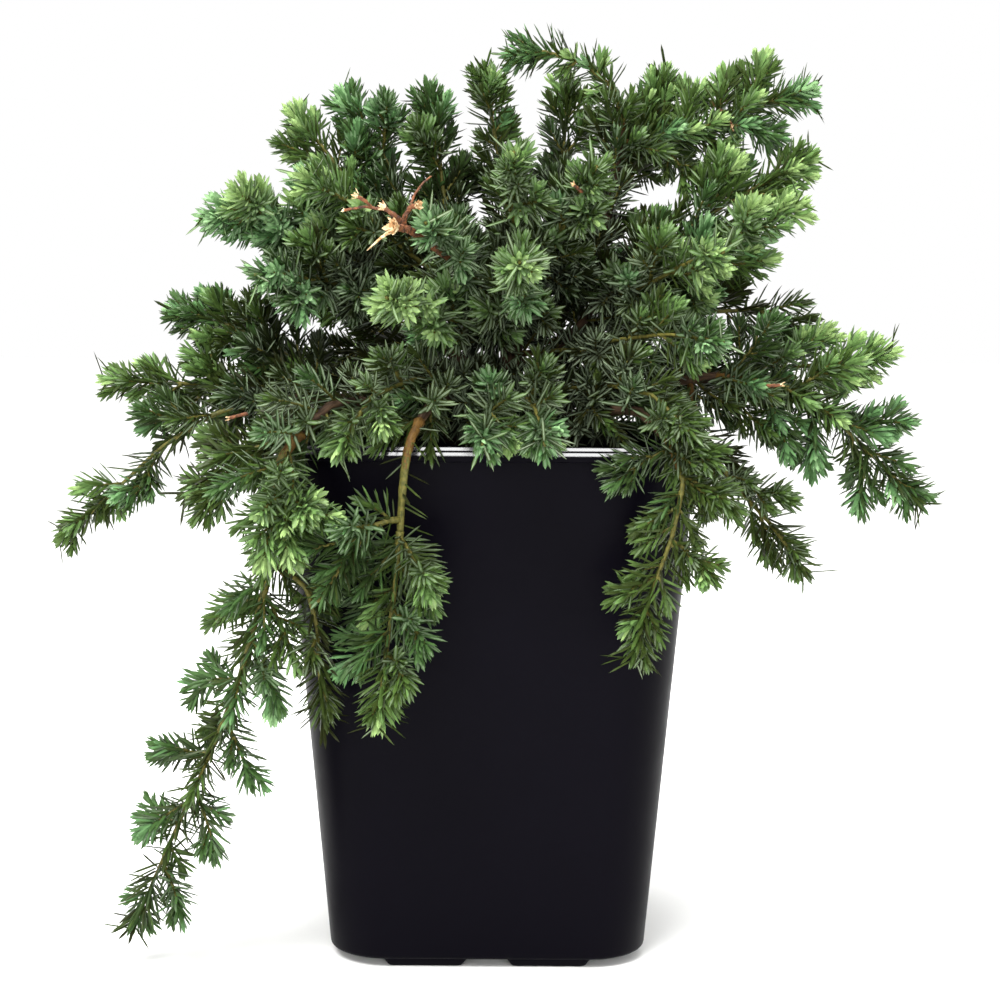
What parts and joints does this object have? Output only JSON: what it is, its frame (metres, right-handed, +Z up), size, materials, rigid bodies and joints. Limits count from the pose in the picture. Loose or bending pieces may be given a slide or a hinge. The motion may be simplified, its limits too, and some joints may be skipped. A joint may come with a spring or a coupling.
{
  "type": "potted weeping juniper",
  "caption": "Weeping shore juniper with arching sprays of short blue-green needles that spill over the rim of a tapered square black nursery pot on low feet.",
  "frame": {"origin": "on the ground under the middle of the pot", "axes": "+Z up along the pot's axis, -Y towards the viewer of the picture, +X to the viewer's right"},
  "size_m": [0.2988, 0.2149, 0.3181],
  "materials": {
    "pot": "satin black moulded polypropylene",
    "potting_mix": "damp shredded bark potting mix",
    "bark": "flaking brown bark",
    "young_wood": "smooth tan young wood",
    "needles": "waxy green needles"
  },
  "bodies": {
    "root": {"pot": "pot", "potting_mix": "potting_mix", "trunk": "bark", "bough_left_low": "bark", "bough_left_hanging": "young_wood", "bough_front_left": "bark", "bough_front_hanging": "young_wood", "bough_left": "bark", "bough_upper_left": "bark", "bough_top_right": "bark", "bough_right": "bark", "bough_right_low": "bark", "bough_front_right": "bark", "bough_back_right": "bark", "bough_back_left": "bark", "foliage_cascade": "needles", "foliage_left_corner": "needles", "foliage_front_left": "needles", "foliage_pot_edge": "needles", "foliage_front_hanging": "needles", "foliage_front_hanging_left": "needles", "foliage_left_long": "needles", "foliage_left_lifted": "needles", "foliage_left_middle": "needles", "foliage_upper_left": "needles", "foliage_upper_left_back": "needles", "foliage_upper_left_low": "needles", "foliage_upper_left_front": "needles", "foliage_top_middle": "needles", "foliage_top_left": "needles", "foliage_top_upright": "needles", "foliage_arch": "needles", "foliage_top_right": "needles", "foliage_upper_right": "needles", "foliage_right_high": "needles", "foliage_right_bright": "needles", "foliage_right_front": "needles", "foliage_right_arching": "needles", "foliage_right_long": "needles", "foliage_right_drooping": "needles", "foliage_right_under": "needles", "foliage_right_hanging": "needles", "foliage_front_right": "needles", "foliage_front_right_low": "needles", "foliage_front_low_left": "needles", "foliage_front_low_right": "needles", "foliage_front_rim_left": "needles", "foliage_front_bright": "needles", "foliage_front_star": "needles", "foliage_front_upper_left": "needles", "foliage_front_top_right": "needles", "foliage_front_top": "needles", "foliage_back_top": "needles", "foliage_back_middle": "needles", "foliage_back_left_low": "needles", "foliage_back_left": "needles", "foliage_back_left_high": "needles", "foliage_back_low": "needles", "foliage_back_right": "needles", "foliage_back_right_high": "needles"}
  },
  "joints": []
}
